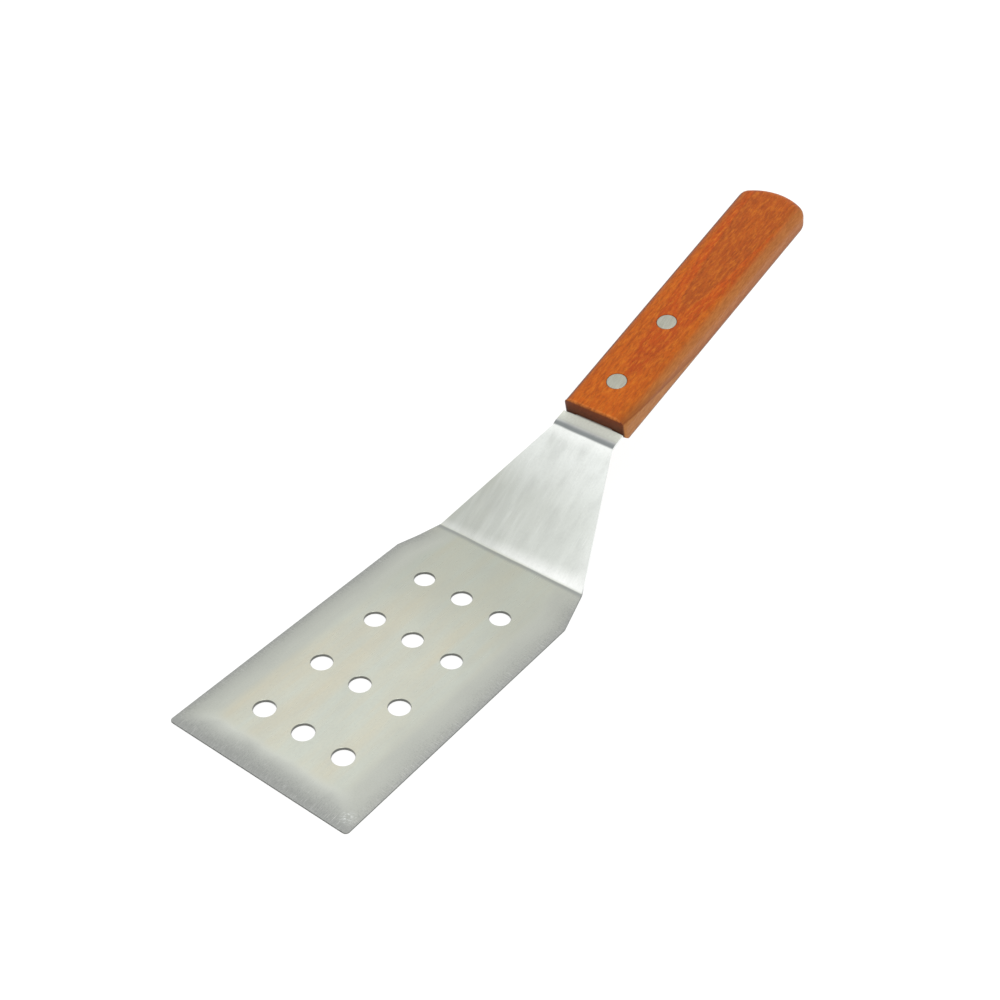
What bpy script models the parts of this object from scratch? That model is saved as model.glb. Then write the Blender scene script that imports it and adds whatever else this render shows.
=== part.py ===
"""Grill spatula: perforated steel turner with a mortised wooden handle and two handle rivets.

Frame: +X across the blade, +Y from the blade's front edge towards the handle, +Z up.
The origin is on the blade's underside, on the centre line, midway between hole rows two and three.
"""
import math

import bmesh
import bpy
from mathutils import Vector

# ---- Driving dimensions (metres, degrees) ----
SHEET_T = 0.0012            # sheet thickness
BLADE_W = 0.0762            # blade width
SHOULDER_Y = 0.1150         # front edge to the start of the shoulders
CREASE_Y = 0.1338           # front edge to the first bend
CREASE_HALF_W = 0.03255     # half width at the first bend
NECK_LEN = 0.0560           # first bend to second bend, along the sheet
NECK_ANGLE = 34.0           # neck above the blade's plane
TANG_ANGLE = 16.6           # tang and handle above the blade's plane
TANG_W = 0.0271             # tang width outside the handle
TANG_IN_W = 0.0160          # tang width inside the handle
TANG_LEN = 0.0700           # second bend to the tang's end
TANG_LEAD = 0.0020          # stretch of full tang width before the second bend
TANG_END_R = 0.0040         # corner radius at the tang's end
BEND_R = 0.0020             # bend radius at the middle of the sheet
BEND_STEPS = 4
CORNER_R = 0.0015           # front corners of the blade

GRIND_W = 0.0130            # width of the ground band along the blade's free edges
GRIND_DEPTH = 0.0007        # depth ground off the top at the edge itself
GRIND_LINES = (0.0, 0.0025, 0.0060)   # distances from the edge that carry a mesh line
GRIND_FADE_Y = 0.1240       # the side grind fades out from here to the first bend

HOLE_R = 0.0039
HOLE_COLS = 3
HOLE_ROWS = 4
HOLE_DX = 0.01708           # column spacing
HOLE_DY = 0.02758           # row spacing
HOLE_Y0 = 0.02239           # front edge to the first row

HANDLE_START = 0.0063       # second bend to the handle's front face, along the tang
HANDLE_END = 0.1478         # second bend to the handle's far end, along the tang
HANDLE_HALF_W0 = 0.0139     # half width at the front
HANDLE_HALF_W1 = 0.0152     # half width at the rear
HANDLE_HALF_T = 0.0073      # half thickness
HANDLE_EDGE_R0 = 0.0048     # rounding of the long edges at the front
HANDLE_EDGE_R1 = 0.0056     # rounding of the long edges at the rear
HANDLE_FRONT_R = 0.0008     # rounding of the front face's edges
UNDER_BEVEL_TOP = 0.0013    # depth under the tang's middle at which the front starts to slope back
UNDER_BEVEL_LEN = 0.0058    # how far the slope runs back along the underside
UNDER_BEVEL_REACH = 0.5     # how far its cutter runs on past both ends, as a part of the slope
HANDLE_FRONT_CORNER = 0.0020   # corner radius of the front, seen from above
HANDLE_END_BULGE = 0.0052   # how far the far end curves out
HANDLE_END_CORNER = 0.0055  # corner radius of the far end, seen from above
FRONT_STRAIGHT = 0.92       # part of the front's straight edge that keeps its own rounding
CORNER_R_MIN = 0.0004       # corner radius kept where the rounding is wider than the corner
ROUND_STEPS = 5             # facets in a quarter of edge rounding
CORNER_STEPS = 5
END_STEPS = 5
SIDE_STEPS = 5

GAP = 0.0003                # clearance kept between neighbouring pieces
TANG_SHOULDER = HANDLE_START - GAP   # where the tang has narrowed, along the tang
MORTISE_OVERRUN = 0.0040    # how far the mortise cutter runs out of the front face

RIVET_Y = (0.0232, 0.0591)  # rivet positions along the tang, from the second bend
RIVET_HEAD_R = 0.0040
RIVET_HEAD_T = 0.0016
POST_R = 0.0016
SLEEVE_R = 0.0028
SLEEVE_BORE_R = POST_R + GAP
RIVET_SEGMENTS = 32

STEEL_RGBA = (0.62, 0.63, 0.60, 1.0)
WOOD_RGBA = (0.45, 0.12, 0.03, 1.0)
RIVET_RGBA = (0.50, 0.50, 0.46, 1.0)

ORIGIN_Y = HOLE_Y0 + 1.5 * HOLE_DY


# ---- Helpers ----
def clear_scene():
    """Remove every object the file opened with."""
    for obj in list(bpy.data.objects):
        bpy.data.objects.remove(obj, do_unlink=True)


def make_material(name, rgba, roughness, metallic):
    """Make one Principled BSDF material."""
    mat = bpy.data.materials.new(name)
    mat.use_nodes = True
    bsdf = mat.node_tree.nodes["Principled BSDF"]
    bsdf.inputs["Base Color"].default_value = rgba
    bsdf.inputs["Roughness"].default_value = roughness
    bsdf.inputs["Metallic"].default_value = metallic
    return mat


def add_object(name, bm, material=None, parent=None, location=(0.0, 0.0, 0.0)):
    """Turn a bmesh into a linked object."""
    bmesh.ops.recalc_face_normals(bm, faces=bm.faces)
    mesh = bpy.data.meshes.new(name)
    bm.to_mesh(mesh)
    bm.free()
    obj = bpy.data.objects.new(name, mesh)
    bpy.context.scene.collection.objects.link(obj)
    obj.parent = parent
    obj.location = location
    if material:
        mesh.materials.append(material)
    return obj


def add_cutter(obj, cutter):
    """Cut obj with cutter, which is kept as a hidden guide."""
    cutter.hide_render = True
    cutter.display_type = "WIRE"
    mod = obj.modifiers.new("cut_" + cutter.name, "BOOLEAN")
    mod.operation = "DIFFERENCE"
    mod.solver = "EXACT"
    mod.object = cutter


def smooth(obj, degrees=30.0):
    """Shade smooth, keeping edges sharper than the given angle."""
    obj.data.shade_smooth()
    obj.data.set_sharp_from_angle(angle=math.radians(degrees))


def bridge_rings(bm, rings):
    """Join successive closed rings of vertices with quads."""
    for low, high in zip(rings, rings[1:]):
        count = len(low)
        for i in range(count):
            j = (i + 1) % count
            bm.faces.new((low[i], low[j], high[j], high[i]))


# ---- Blade, neck and tang ----
def sheet_path():
    """Bend points of the sheet's middle surface: (length along sheet, y, z, slope in radians)."""
    neck = math.radians(NECK_ANGLE)
    tang = math.radians(TANG_ANGLE)
    z0 = SHEET_T / 2.0
    first = Vector((CREASE_Y, z0))
    second = first + NECK_LEN * Vector((math.cos(neck), math.sin(neck)))
    return ((0.0, 0.0, z0, 0.0), (CREASE_Y, first.x, first.y, neck),
            (CREASE_Y + NECK_LEN, second.x, second.y, tang))


def bend_half(angle):
    """Length of the sheet between a bend's start and its sharp corner."""
    return BEND_R * math.tan(abs(angle) / 2.0)


def sheet_point(length):
    """Position and slope of the sheet's middle surface at a length from the front edge."""
    path = sheet_path()
    for start, end in zip(path, path[1:]):
        turn = end[3] - start[3]
        half = bend_half(turn)
        if length < end[0] - half:
            step = length - start[0]
            return start[1] + step * math.cos(start[3]), start[2] + step * math.sin(start[3]), start[3]
        if length <= end[0] + half:
            part = (length - end[0] + half) / (2.0 * half)
            bend = part * turn
            y0 = end[1] - half * math.cos(start[3])
            z0 = end[2] - half * math.sin(start[3])
            along = BEND_R * math.sin(abs(bend))
            rise = math.copysign(BEND_R * (1.0 - math.cos(bend)), turn)
            return (y0 + along * math.cos(start[3]) - rise * math.sin(start[3]),
                    z0 + along * math.sin(start[3]) + rise * math.cos(start[3]), start[3] + bend)
    last = path[-1]
    step = length - last[0]
    return last[1] + step * math.cos(last[3]), last[2] + step * math.sin(last[3]), last[3]


def half_width(length):
    """Half width of the sheet at a length from the front edge."""
    half = BLADE_W / 2.0
    bend = CREASE_Y + NECK_LEN
    neck_top = bend - TANG_LEAD
    if length < CORNER_R:
        return half - CORNER_R + math.sqrt(CORNER_R ** 2 - (CORNER_R - length) ** 2)
    if length <= SHOULDER_Y:
        return half
    if length <= CREASE_Y:
        part = (length - SHOULDER_Y) / (CREASE_Y - SHOULDER_Y)
        return half + part * (CREASE_HALF_W - half)
    if length <= neck_top:
        part = (length - CREASE_Y) / (neck_top - CREASE_Y)
        return CREASE_HALF_W + part * (TANG_W / 2.0 - CREASE_HALF_W)
    if length <= bend + TANG_SHOULDER - GAP:
        return TANG_W / 2.0
    inset = max(length - (bend + TANG_LEN - TANG_END_R), 0.0)
    return TANG_IN_W / 2.0 - TANG_END_R + math.sqrt(max(TANG_END_R ** 2 - inset ** 2, 0.0))


def grind_depth(edge_distance, length):
    """Metal ground off the top at a distance from the nearest free edge."""
    if edge_distance >= GRIND_W:
        return 0.0
    depth = GRIND_DEPTH * (1.0 - edge_distance / GRIND_W) ** 2
    fade = (CREASE_Y - length) / (CREASE_Y - GRIND_FADE_Y)
    return depth * min(max(fade, 0.0), 1.0)


def sheet_stations():
    """Lengths along the sheet at which it gets a row of vertices."""
    stations = [CORNER_R * (1.0 - math.cos(math.radians(a))) for a in (0, 30, 60)]
    stations += [CORNER_R, GRIND_LINES[1], GRIND_LINES[2], GRIND_W, SHOULDER_Y, GRIND_FADE_Y]
    for corner, turn in ((CREASE_Y, NECK_ANGLE), (CREASE_Y + NECK_LEN, NECK_ANGLE - TANG_ANGLE)):
        half = bend_half(math.radians(turn))
        stations += [corner - half + 2.0 * half * i / BEND_STEPS for i in range(BEND_STEPS + 1)]
    bend = CREASE_Y + NECK_LEN
    stations += [bend - TANG_LEAD, bend + TANG_SHOULDER - GAP, bend + TANG_SHOULDER]
    tang_end = bend + TANG_LEN
    stations += [tang_end - TANG_END_R * (1.0 - math.sin(math.radians(a))) for a in (0, 30, 60, 90)]
    return sorted(stations)


def sheet_ring(bm, length):
    """One closed ring of vertices around the sheet's section at a length."""
    y, z, slope = sheet_point(length)
    half = half_width(length)
    shrink = min(1.0, half / CREASE_HALF_W) if length > CREASE_Y else 1.0
    sides = [(half - distance * shrink, distance) for distance in list(GRIND_LINES) + [GRIND_W]]
    tops = [(-x, distance) for x, distance in sides] + list(reversed(sides))
    ring = []
    for x, distance in tops:
        depth = grind_depth(min(distance, length), length)
        up = SHEET_T / 2.0 - depth
        ring.append(bm.verts.new((x, y - up * math.sin(slope) - ORIGIN_Y, z + up * math.cos(slope))))
    for x, _ in reversed(tops):
        down = SHEET_T / 2.0
        ring.append(bm.verts.new((x, y + down * math.sin(slope) - ORIGIN_Y, z - down * math.cos(slope))))
    return ring


def skin_sheet(bm, rings):
    """Skin the sheet's rings with triangles whose diagonals run inward from the front corners."""
    count = len(rings[0])
    for front, rear in zip(rings, rings[1:]):
        for i in range(count):
            j = (i + 1) % count
            if (front[i].co.x + front[j].co.x) * (front[j].co.x - front[i].co.x) < 0.0:
                bm.faces.new((front[i], front[j], rear[j]))
                bm.faces.new((front[i], rear[j], rear[i]))
            else:
                bm.faces.new((front[i], front[j], rear[i]))
                bm.faces.new((front[j], rear[j], rear[i]))
    for ring in (rings[0], rings[-1]):
        for i in range(count // 2 - 1):
            bm.faces.new((ring[i], ring[i + 1], ring[count - 2 - i], ring[count - 1 - i]))


def cylinder(bm, centre, radius, z_low, z_high, segments):
    """Add a closed upright cylinder to a bmesh."""
    low = []
    high = []
    for i in range(segments):
        angle = 2.0 * math.pi * i / segments
        x = centre[0] + radius * math.cos(angle)
        y = centre[1] + radius * math.sin(angle)
        low.append(bm.verts.new((x, y, z_low)))
        high.append(bm.verts.new((x, y, z_high)))
    bridge_rings(bm, [low, high])
    bm.faces.new(low)
    bm.faces.new(high)


def build_blade(material, tang_frame):
    """The bent sheet: blade with drain holes, neck and drilled tang."""
    bm = bmesh.new()
    rings = [sheet_ring(bm, length) for length in sheet_stations()]
    skin_sheet(bm, rings)
    blade = add_object("blade", bm, material)

    drains = bmesh.new()
    for row in range(HOLE_ROWS):
        for col in range(HOLE_COLS):
            x = (col - (HOLE_COLS - 1) / 2.0) * HOLE_DX
            y = HOLE_Y0 + row * HOLE_DY - ORIGIN_Y
            cylinder(drains, (x, y), HOLE_R, -0.002, 0.004, 32)
    add_cutter(blade, add_object("drain_hole_cutter", drains))

    bores = bmesh.new()
    for y in RIVET_Y:
        cylinder(bores, (0.0, y), SLEEVE_R + GAP, -0.003, 0.003, RIVET_SEGMENTS)
    add_cutter(blade, add_object("tang_hole_cutter", bores, parent=tang_frame))
    smooth(blade, 20.0)
    return blade


# ---- Handle ----
def front_corner_points(inset):
    """Arc around the front right corner at a level's inset (0 to 1), with each point's edge rounding."""
    front = HANDLE_START + HANDLE_FRONT_R * inset
    side = HANDLE_HALF_W0 - HANDLE_EDGE_R0 * inset
    radius = HANDLE_FRONT_CORNER - 0.5 * (HANDLE_FRONT_R + HANDLE_EDGE_R0) * inset
    radius = max(radius, CORNER_R_MIN)
    points = []
    for i in range(CORNER_STEPS + 1):
        part = i / CORNER_STEPS
        angle = math.pi / 2.0 * (part - 1.0)
        points.append((side - radius + radius * math.cos(angle), front + radius + radius * math.sin(angle),
                       HANDLE_FRONT_R + part * (HANDLE_EDGE_R0 - HANDLE_FRONT_R)))
    return points


def far_end_points(inset):
    """Corner arc and curved end of the right half of the outline, for a level's inset (0 to 1)."""
    bulge = HANDLE_END_BULGE
    arc_radius = (HANDLE_HALF_W1 ** 2 + bulge ** 2) / (2.0 * bulge)
    centre_y = HANDLE_END - arc_radius
    drop = HANDLE_EDGE_R1 * inset
    corner = max(HANDLE_END_CORNER - drop, CORNER_R_MIN)
    arc = arc_radius - drop
    corner_x = HANDLE_HALF_W1 - drop - corner
    corner_y = centre_y + math.sqrt((arc - corner) ** 2 - corner_x ** 2)
    turn = math.atan2(corner_y - centre_y, corner_x)
    points = []
    for i in range(CORNER_STEPS + 1):
        angle = turn * i / CORNER_STEPS
        points.append((corner_x + corner * math.cos(angle), corner_y + corner * math.sin(angle),
                       HANDLE_EDGE_R1))
    for i in range(1, END_STEPS + 1):
        angle = turn + (math.pi / 2.0 - turn) * i / END_STEPS
        points.append((arc * math.cos(angle), centre_y + arc * math.sin(angle), HANDLE_EDGE_R1))
    return points


def handle_outline(inset):
    """The handle's outline at a level's inset (0 at the sides, 1 on top): (x, y, edge rounding)."""
    corner = front_corner_points(inset)
    rear = far_end_points(inset)
    right = [(part * corner[0][0], corner[0][1], HANDLE_FRONT_R) for part in (0.0, 0.5, FRONT_STRAIGHT)]
    right += corner
    start, end = corner[-1], rear[0]
    for i in range(1, SIDE_STEPS):
        part = i / SIDE_STEPS
        right.append(tuple(a + part * (b - a) for a, b in zip(start, end)))
    right += rear
    left = [(-x, y, radius) for x, y, radius in reversed(right[1:-1])]
    return right + left


def handle_body():
    """The rounded wooden body before the mortise, bevel and bores are cut."""
    bm = bmesh.new()
    steps = [90.0 * i / ROUND_STEPS for i in range(ROUND_STEPS + 1)]
    levels = [(-1.0, degrees) for degrees in reversed(steps)] + [(1.0, degrees) for degrees in steps]
    rings = []
    for sign, degrees in levels:
        inset = 1.0 - math.cos(math.radians(degrees))
        rise = 1.0 - math.sin(math.radians(degrees))
        rings.append([bm.verts.new((x, y, sign * (HANDLE_HALF_T - radius * rise)))
                      for x, y, radius in handle_outline(inset)])
    bridge_rings(bm, rings)
    bm.faces.new(rings[0])
    bm.faces.new(rings[-1])
    return bm


def mortise_cutter():
    """The flat mortise for the tang: open at the front, closed at both sides."""
    bm = bmesh.new()
    half = SHEET_T / 2.0 + GAP
    wide = TANG_IN_W / 2.0 + GAP
    start = HANDLE_START - MORTISE_OVERRUN
    end = TANG_LEN + GAP
    outline = ((-wide, start), (wide, start), (wide, end), (-wide, end))
    low = [bm.verts.new((x, y, -half)) for x, y in outline]
    high = [bm.verts.new((x, y, half)) for x, y in outline]
    bridge_rings(bm, [low, high])
    bm.faces.new(low)
    bm.faces.new(high)
    return bm


def under_bevel_cutter():
    """A wedge that slopes the front face back below the tang."""
    bm = bmesh.new()
    top = Vector((HANDLE_START, -UNDER_BEVEL_TOP))
    slope = Vector((UNDER_BEVEL_LEN, UNDER_BEVEL_TOP - HANDLE_HALF_T))
    start = top - UNDER_BEVEL_REACH * slope
    end = top + (1.0 + UNDER_BEVEL_REACH) * slope
    ends = [[bm.verts.new((x, y, z)) for y, z in (start, end, (start.x, end.y))]
            for x in (-BLADE_W / 2.0, BLADE_W / 2.0)]
    bridge_rings(bm, ends)
    for ring in ends:
        bm.faces.new(ring)
    return bm


def build_handle(material, tang_frame):
    """The handle with its mortise, under bevel and rivet bores."""
    handle = add_object("handle", handle_body(), material, tang_frame)
    add_cutter(handle, add_object("mortise_cutter", mortise_cutter(), parent=tang_frame))
    add_cutter(handle, add_object("under_bevel_cutter", under_bevel_cutter(), parent=tang_frame))
    bores = bmesh.new()
    seat = HANDLE_HALF_T - RIVET_HEAD_T - GAP
    for y in RIVET_Y:
        profile = ((RIVET_HEAD_R + GAP, -0.010), (RIVET_HEAD_R + GAP, -seat), (SLEEVE_R + GAP, -seat),
                   (SLEEVE_R + GAP, seat), (RIVET_HEAD_R + GAP, seat), (RIVET_HEAD_R + GAP, 0.010))
        turned(bores, (0.0, y), profile)
    add_cutter(handle, add_object("rivet_bore_cutter", bores, parent=tang_frame))
    smooth(handle, 35.0)
    return handle


# ---- Rivets ----
def turned(bm, centre, profile):
    """Add a turned solid to a bmesh, from a profile of (radius, z) that starts and ends on caps."""
    rings = []
    for radius, z in profile:
        ring = []
        for i in range(RIVET_SEGMENTS):
            angle = 2.0 * math.pi * i / RIVET_SEGMENTS
            ring.append(bm.verts.new((centre[0] + radius * math.cos(angle),
                                      centre[1] + radius * math.sin(angle), z)))
        rings.append(ring)
    bridge_rings(bm, rings)
    bm.faces.new(rings[0])
    bm.faces.new(rings[-1])


def build_rivet(prefix, y, material, tang_frame):
    """One two-piece rivet: a solid post from above in a tubular sleeve from below."""
    top = HANDLE_HALF_T
    neck = top - RIVET_HEAD_T
    sleeve_top = neck - GAP
    post = bmesh.new()
    turned(post, (0.0, 0.0), ((POST_R, -neck + 2.0 * GAP), (POST_R, neck), (RIVET_HEAD_R, neck),
                              (RIVET_HEAD_R, top)))
    sleeve = bmesh.new()
    turned(sleeve, (0.0, 0.0), ((RIVET_HEAD_R, -top), (RIVET_HEAD_R, -neck), (SLEEVE_R, -neck),
                                (SLEEVE_R, sleeve_top), (SLEEVE_BORE_R, sleeve_top),
                                (SLEEVE_BORE_R, -neck + GAP)))
    for name, bm in ((prefix + "_post", post), (prefix + "_sleeve", sleeve)):
        smooth(add_object(name, bm, material, tang_frame, (0.0, y, 0.0)))


def main():
    """Build the whole spatula."""
    clear_scene()
    steel = make_material("blade_steel", STEEL_RGBA, 0.35, 1.0)
    wood = make_material("handle_wood", WOOD_RGBA, 0.45, 0.0)
    rivet_metal = make_material("rivet_metal", RIVET_RGBA, 0.4, 1.0)

    tang_frame = bpy.data.objects.new("tang_frame", None)
    bpy.context.scene.collection.objects.link(tang_frame)
    bend = sheet_path()[-1]
    tang_frame.location = (0.0, bend[1] - ORIGIN_Y, bend[2])
    tang_frame.rotation_euler = (bend[3], 0.0, 0.0)

    build_blade(steel, tang_frame)
    build_handle(wood, tang_frame)
    build_rivet("rivet_front", RIVET_Y[0], rivet_metal, tang_frame)
    build_rivet("rivet_rear", RIVET_Y[1], rivet_metal, tang_frame)


main()
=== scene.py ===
"""Looks of the grill spatula: a finely made blade sheet, wooden handle and rivets around the packed frame.

Units are metres. The row frame is the packed model's: +X across the blade, +Y towards the handle, +Z up.
Lengths along the sheet run from the blade's front edge. The tang frame sits at the second bend with its
Y axis along the tang.
"""
import math
from collections import namedtuple

import bmesh
import bpy
from mathutils import Matrix, Vector


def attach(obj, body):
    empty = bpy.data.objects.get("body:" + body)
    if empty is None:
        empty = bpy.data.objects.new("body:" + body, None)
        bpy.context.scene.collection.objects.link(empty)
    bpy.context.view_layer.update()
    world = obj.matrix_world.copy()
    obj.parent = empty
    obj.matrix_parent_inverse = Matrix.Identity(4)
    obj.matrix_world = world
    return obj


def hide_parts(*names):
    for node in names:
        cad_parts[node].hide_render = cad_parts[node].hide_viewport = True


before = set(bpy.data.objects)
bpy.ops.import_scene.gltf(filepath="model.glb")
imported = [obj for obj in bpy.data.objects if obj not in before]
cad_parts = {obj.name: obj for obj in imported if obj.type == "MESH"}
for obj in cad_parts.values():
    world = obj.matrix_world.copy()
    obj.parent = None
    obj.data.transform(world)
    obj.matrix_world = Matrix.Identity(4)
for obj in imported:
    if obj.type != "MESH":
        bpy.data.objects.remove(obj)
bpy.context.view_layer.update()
BODY = "root"

# ---- Sheet sizes ----
SHEET_T = 0.0012
HALF_W = 0.0381
SHOULDER = 0.1150           # length from the front edge to the shoulders
CREASE = 0.1338             # length to the first bend
CREASE_HALF_W = 0.03255
NECK_LEN = 0.0560
NECK_ANGLE = math.radians(34.0)
TANG_ANGLE = math.radians(16.6)
TANG_HALF_W = 0.01355
TANG_IN_HALF_W = 0.0080     # half width of the tang inside the handle
TANG_LEN = 0.0700
TANG_LEAD = 0.0020
TANG_END_R = 0.0040
BEND_R = 0.0020
FRONT_CORNER_R = 0.0015
BEND = CREASE + NECK_LEN    # length to the second bend
SHEET_END = BEND + TANG_LEN

GRIND_W = 0.0130            # width of the ground band along the free edges
GRIND_DEPTH = 0.0007
GRIND_FADE = 0.1240
MITRE_BLEND = 0.0045        # softness of the ground band's mitre at the front corners
RIM = 0.0001                # chamfer left on cut edges

SCUFF_X = 0.0344            # middle of the scuffed patch by the right front corner
SCUFF_LEN = 0.0050
SCUFF_R = 0.0034

HOLE_R = 0.0039
HOLE_DX = 0.01708
HOLE_DY = 0.02758
HOLE_S0 = 0.02239           # length from the front edge to the first row
DRAIN_ROWS = 4
ORIGIN_S = HOLE_S0 + 1.5 * HOLE_DY
CELL_HALF = HOLE_DX / 2.0
INNER_HALF = 1.5 * HOLE_DX
TANG_CELL_HALF = 0.0070     # half length of the block of sheet round a rivet hole

# ---- Sheet mesh ----
CELL_STEPS = 12             # steps along each side of a hole's block
OUTER_STEPS = 11            # from the holes' blocks to the blade's sides
OUTER_CROWDING = 1.25       # above 1, the steps get finer towards the edge
FRONT_STEPS = 11
FRONT_CROWDING = 1.2
GAP_STEPS = 7               # between two rows of holes
REAR_STEPS = 12
CREASE_STEPS = 10
NECK_STEPS = 24
LEAD_STEPS = 2
BEND_STEPS = 8
SEAT_STEPS = 4
TANG_STEPS = 5
ARC_DEGREES = 10
HOLE_RINGS = (0.0, 0.35, 0.65, 0.88, 1.0)
ON_LINE = 1e-6
WELD = 3e-6

# ---- Handle and rivet sizes ----
HANDLE_START = 0.0063
HANDLE_END = 0.1478
HANDLE_HALF_W0 = 0.0139
HANDLE_HALF_W1 = 0.0152
HANDLE_HALF_T = 0.0073
HANDLE_EDGE_R0 = 0.0048
HANDLE_EDGE_R1 = 0.0056
HANDLE_FRONT_R = 0.0008
UNDER_BEVEL_TOP = 0.0013    # depth under the tang's middle at which the front starts to slope back
UNDER_BEVEL_LEN = 0.0058
UNDER_BEVEL_REACH = 0.5     # how far the bevel's cutter runs on past both ends, as a part of the slope
HANDLE_FRONT_CORNER = 0.0020
HANDLE_END_BULGE = 0.0052
HANDLE_END_CORNER = 0.0055
CORNER_R_MIN = 0.0004
SIDE_TAPER = (HANDLE_HALF_W1 - HANDLE_HALF_W0) / (HANDLE_END - HANDLE_START)
CROWN = 0.00012             # rise of the handle's faces towards their middle
MORTISE_PLAY = 0.00008
MORTISE_OVERRUN = 0.0040    # how far the mortise cutter runs out of the front face
SHOULDER_PLAY = 0.0003
RIVET_Y = (0.0232, 0.0591)
HEAD_R = 0.0040
HEAD_T = 0.0016
HEAD_EDGE_R = 0.00035
POST_R = 0.0016
SLEEVE_R = 0.0028
SEAT_PLAY = 0.00005         # gap round a rivet head in its counterbore
BORE_PLAY = 0.00015
BORE_FLARE = 0.00022        # easing of a counterbore's rim
FLARE_OVERRUN = 5.0         # how many flares the cutter runs on past the rim
RIVET_GAP = 0.0003          # gap between a post and its sleeve

# ---- Handle and rivet mesh ----
CORNER_SHARE = 0.9          # most of the half width that a corner may take up
FRONT_PARTS = (0.0, 0.25, 0.5, 0.75, 0.92)
FRONT_ARC_STEPS = 10
SIDE_STEPS = 44
END_CORNER_STEPS = 8
END_ARC_STEPS = 12
ROUNDING_STEPS = 14
FACE_PARTS = (0.15, 0.35, 0.55, 0.75, 0.92)
TURN_STEPS = 72
HEAD_EDGE_STEPS = 6
HEAD_FACE_PARTS = (0.8, 0.55, 0.3, 0.08)
BLADE_SHARP = 30.0          # edges sharper than this many degrees are kept sharp
HANDLE_SHARP = 32.0
RIVET_SHARP = 35.0

# ---- Camera ----
CAMERA_PLACE = Vector((0.23943, -0.27160, 0.34889))
CAMERA_AZIMUTH = math.radians(35.597)
CAMERA_ELEVATION = math.radians(37.560)
CAMERA_ROLL = math.radians(1.876)
CAMERA_LENS_MM = 52.80
SENSOR_MM = 36.0
CAMERA_NEAR = 0.01

# ---- Light and floor ----
WALL_LIGHT = 0.84
CEILING_LIGHT = 1.20
CEILING_RISE = (0.56, 0.84)     # heights of the view direction between which wall turns to ceiling
KEY_PLACE = (0.75, -0.55, 1.10)
KEY_TARGET = (0.0, 0.03, 0.02)
KEY_SIZE = 0.8
KEY_POWER = 4.0
FLOOR_SIZE = 4.0
FLOOR_SINK = 0.0001
FLOOR_COLOUR = (0.30, 0.30, 0.30, 1.0)
FLOOR_GLOW = 0.76
FLOOR_ROUGH = 0.9
FLOOR_SHINE = 0.1
WHITE = (1.0, 1.0, 1.0, 1.0)


# ---- Sheet form ----
def bend_points():
    """Corners of the sheet's middle line: (length, y, z, slope after it)."""
    mid = SHEET_T / 2.0
    y1 = CREASE - ORIGIN_S
    y2 = y1 + NECK_LEN * math.cos(NECK_ANGLE)
    z2 = mid + NECK_LEN * math.sin(NECK_ANGLE)
    return ((0.0, -ORIGIN_S, mid, 0.0), (CREASE, y1, mid, NECK_ANGLE), (BEND, y2, z2, TANG_ANGLE))


def bend_half(turn):
    """Length of sheet from a bend's start to its sharp corner."""
    return BEND_R * math.tan(abs(turn) / 2.0)


def middle_line(length):
    """Place and slope of the sheet's middle at a length from the front edge."""
    path = bend_points()
    for start, end in zip(path, path[1:]):
        turn = end[3] - start[3]
        half = bend_half(turn)
        if length < end[0] - half:
            break
        if length <= end[0] + half:
            bend = turn * (length - end[0] + half) / (2.0 * half)
            y0 = end[1] - half * math.cos(start[3])
            z0 = end[2] - half * math.sin(start[3])
            along = BEND_R * math.sin(abs(bend))
            rise = math.copysign(BEND_R * (1.0 - math.cos(bend)), turn)
            return (y0 + along * math.cos(start[3]) - rise * math.sin(start[3]),
                    z0 + along * math.sin(start[3]) + rise * math.cos(start[3]), start[3] + bend)
    else:
        start = path[-1]
    step = length - start[0]
    return start[1] + step * math.cos(start[3]), start[2] + step * math.sin(start[3]), start[3]


def half_width(length):
    """Half width of the sheet at a length from the front edge."""
    neck_top = BEND - TANG_LEAD
    if length < FRONT_CORNER_R:
        return HALF_W - FRONT_CORNER_R + math.sqrt(FRONT_CORNER_R ** 2 - (FRONT_CORNER_R - length) ** 2)
    if length <= SHOULDER:
        return HALF_W
    if length <= CREASE:
        part = (length - SHOULDER) / (CREASE - SHOULDER)
        return HALF_W + part * (CREASE_HALF_W - HALF_W)
    if length <= neck_top:
        part = (length - CREASE) / (neck_top - CREASE)
        return CREASE_HALF_W + part * (TANG_HALF_W - CREASE_HALF_W)
    if length <= BEND + HANDLE_START - 2.0 * SHOULDER_PLAY:
        return TANG_HALF_W
    inset = max(length - (SHEET_END - TANG_END_R), 0.0)
    return TANG_IN_HALF_W - TANG_END_R + math.sqrt(max(TANG_END_R ** 2 - inset ** 2, 0.0))


def smooth_min(a, b, blend):
    """The smaller of two distances, rounded off where they are close."""
    part = max(blend - abs(a - b), 0.0) / blend
    return min(a, b) - part * part * blend / 4.0


def edge_distance(x, length):
    """Distance to the nearest ground edge of the blade."""
    side = half_width(max(length, FRONT_CORNER_R)) - abs(x)
    return max(smooth_min(length, side, MITRE_BLEND), 0.0)


def grind(x, length):
    """Metal ground off the top of the sheet."""
    distance = edge_distance(x, length)
    if distance >= GRIND_W or length >= CREASE:
        return 0.0
    fade = min((CREASE - length) / (CREASE - GRIND_FADE), 1.0)
    return GRIND_DEPTH * fade * (1.0 - distance / GRIND_W) ** 2


def bridge_loops(bm, loops):
    """Quads between each closed loop and the next."""
    for low, high in zip(loops, loops[1:]):
        for i in range(len(low)):
            j = (i + 1) % len(low)
            bm.faces.new((low[i], low[j], high[j], high[i]))


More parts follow.
